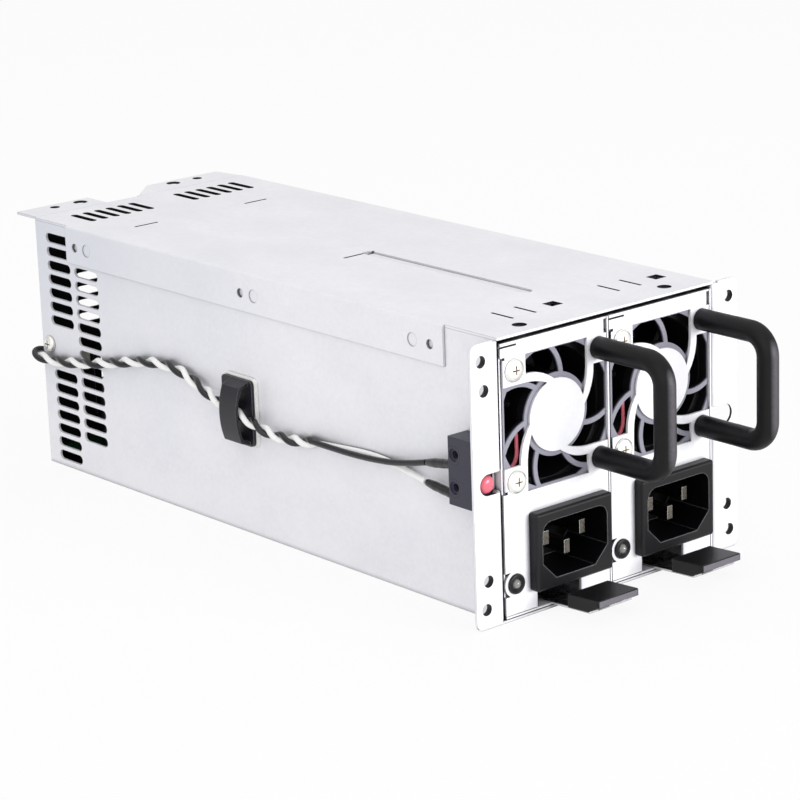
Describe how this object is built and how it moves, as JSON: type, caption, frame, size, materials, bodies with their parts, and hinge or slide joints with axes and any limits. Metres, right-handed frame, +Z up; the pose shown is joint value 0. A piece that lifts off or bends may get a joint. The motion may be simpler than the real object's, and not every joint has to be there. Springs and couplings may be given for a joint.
{
  "type": "hot swap server power supply",
  "caption": "Sheet steel server power supply cage with pull-out redundant power modules, each with a fan guard, mains inlet, handle and latch.",
  "frame": {"origin": "middle of the cage's bottom face", "axes": "+X across the cage to the right seen from the front, +Y from the front panels to the back, +Z up"},
  "size_m": [0.1042, 0.2619, 0.0825],
  "materials": {
    "zinc_steel": "bright zinc plated, satin",
    "spring_steel": "satin",
    "screw_steel": "nickel plated",
    "coated_handle": "black plastic coated, satin",
    "black_plastic": "satin moulded",
    "fan_plastic": "satin moulded",
    "white_nylon": "satin moulded",
    "foam": "closed cell",
    "lead_insulation": "twisted black and white wire",
    "black_insulation": "satin",
    "white_insulation": "satin",
    "red_insulation": "satin",
    "plated_contact": "tin and nickel plated",
    "red_cap": "glossy translucent",
    "lamp_epoxy": "clear glossy",
    "circuit_board": "solder mask",
    "aluminium": "extruded",
    "capacitor_sleeve": "dark plastic sleeve",
    "ferrite": "ferrite with a yellow tape winding"
  },
  "bodies": {
    "cage": {"cage_chassis": "zinc_steel", "top_cover": "zinc_steel", "rear_panel": "zinc_steel", "rear_brackets": "zinc_steel", "harness_grommet": "black_plastic", "cage_screws": "screw_steel", "backplane_board": "circuit_board", "module_sockets": "black_plastic", "output_board": "circuit_board", "output_capacitors": "capacitor_sleeve", "alarm_buzzer": "black_plastic", "alarm_switch": "black_plastic", "switch_terminals": "plated_contact", "switch_spacer": "black_plastic", "clip_foam_pad": "foam", "cable_clip": "black_plastic", "alarm_lead": "lead_insulation", "lead_black_tail": "black_insulation", "lead_white_tail": "white_insulation", "terminal_sleeves": "black_insulation", "alarm_header": "white_nylon"},
    "button": {"alarm_button": "red_cap"},
    "left_module": {"left_front_panel": "zinc_steel", "left_tray": "zinc_steel", "left_cover": "zinc_steel", "left_handle": "coated_handle", "left_fan_frame": "fan_plastic", "left_fan_lead": "red_insulation", "left_fan_screws": "screw_steel", "left_inlet": "black_plastic", "left_inlet_pins": "plated_contact", "left_status_lamp": "lamp_epoxy", "left_lamp_holder": "black_plastic", "left_main_board": "circuit_board", "left_heat_sinks": "aluminium", "left_transformer": "ferrite", "left_capacitors": "capacitor_sleeve", "left_output_plug": "black_plastic"},
    "left_latch": {"left_latch_spring": "spring_steel", "left_latch_tab": "black_plastic"},
    "left_fan": {"left_fan_rotor": "fan_plastic"},
    "right_module": {"right_front_panel": "zinc_steel", "right_tray": "zinc_steel", "right_cover": "zinc_steel", "right_handle": "coated_handle", "right_fan_frame": "fan_plastic", "right_fan_lead": "red_insulation", "right_fan_screws": "screw_steel", "right_inlet": "black_plastic", "right_inlet_pins": "plated_contact", "right_status_lamp": "lamp_epoxy", "right_lamp_holder": "black_plastic", "right_main_board": "circuit_board", "right_heat_sinks": "aluminium", "right_transformer": "ferrite", "right_capacitors": "capacitor_sleeve", "right_output_plug": "black_plastic"},
    "right_latch": {"right_latch_spring": "spring_steel", "right_latch_tab": "black_plastic"},
    "right_fan": {"right_fan_rotor": "fan_plastic"}
  },
  "joints": [
    {"name": "left_module_slide", "type": "slide", "parent": "cage", "child": "left_module", "axis": [0, -1, 0], "range_m": [0, 0.19]},
    {"name": "left_latch_flex", "type": "hinge", "parent": "left_module", "child": "left_latch", "pos_m": [-0.01874, -0.07675, 0.00165], "axis": [-1, 0, 0], "range_deg": [0, 3.5], "stiffness_Nm_per_rad": 0.6},
    {"name": "left_fan_spin", "type": "hinge", "parent": "left_module", "child": "left_fan", "pos_m": [-0.02019, -0.09875, 0.0562], "axis": [0, 1, 0], "continuous": true},
    {"name": "right_module_slide", "type": "slide", "parent": "cage", "child": "right_module", "axis": [0, -1, 0], "range_m": [0, 0.19]},
    {"name": "right_latch_flex", "type": "hinge", "parent": "right_module", "child": "right_latch", "pos_m": [0.02254, -0.07675, 0.00165], "axis": [-1, 0, 0], "range_deg": [0, 3.5], "stiffness_Nm_per_rad": 0.6},
    {"name": "right_fan_spin", "type": "hinge", "parent": "right_module", "child": "right_fan", "pos_m": [0.02109, -0.09875, 0.0562], "axis": [0, 1, 0], "continuous": true},
    {"name": "alarm_button_press", "type": "slide", "parent": "cage", "child": "button", "axis": [0, 1, 0], "range_m": [0, 0.001], "stiffness_N_per_m": 300}
  ]
}
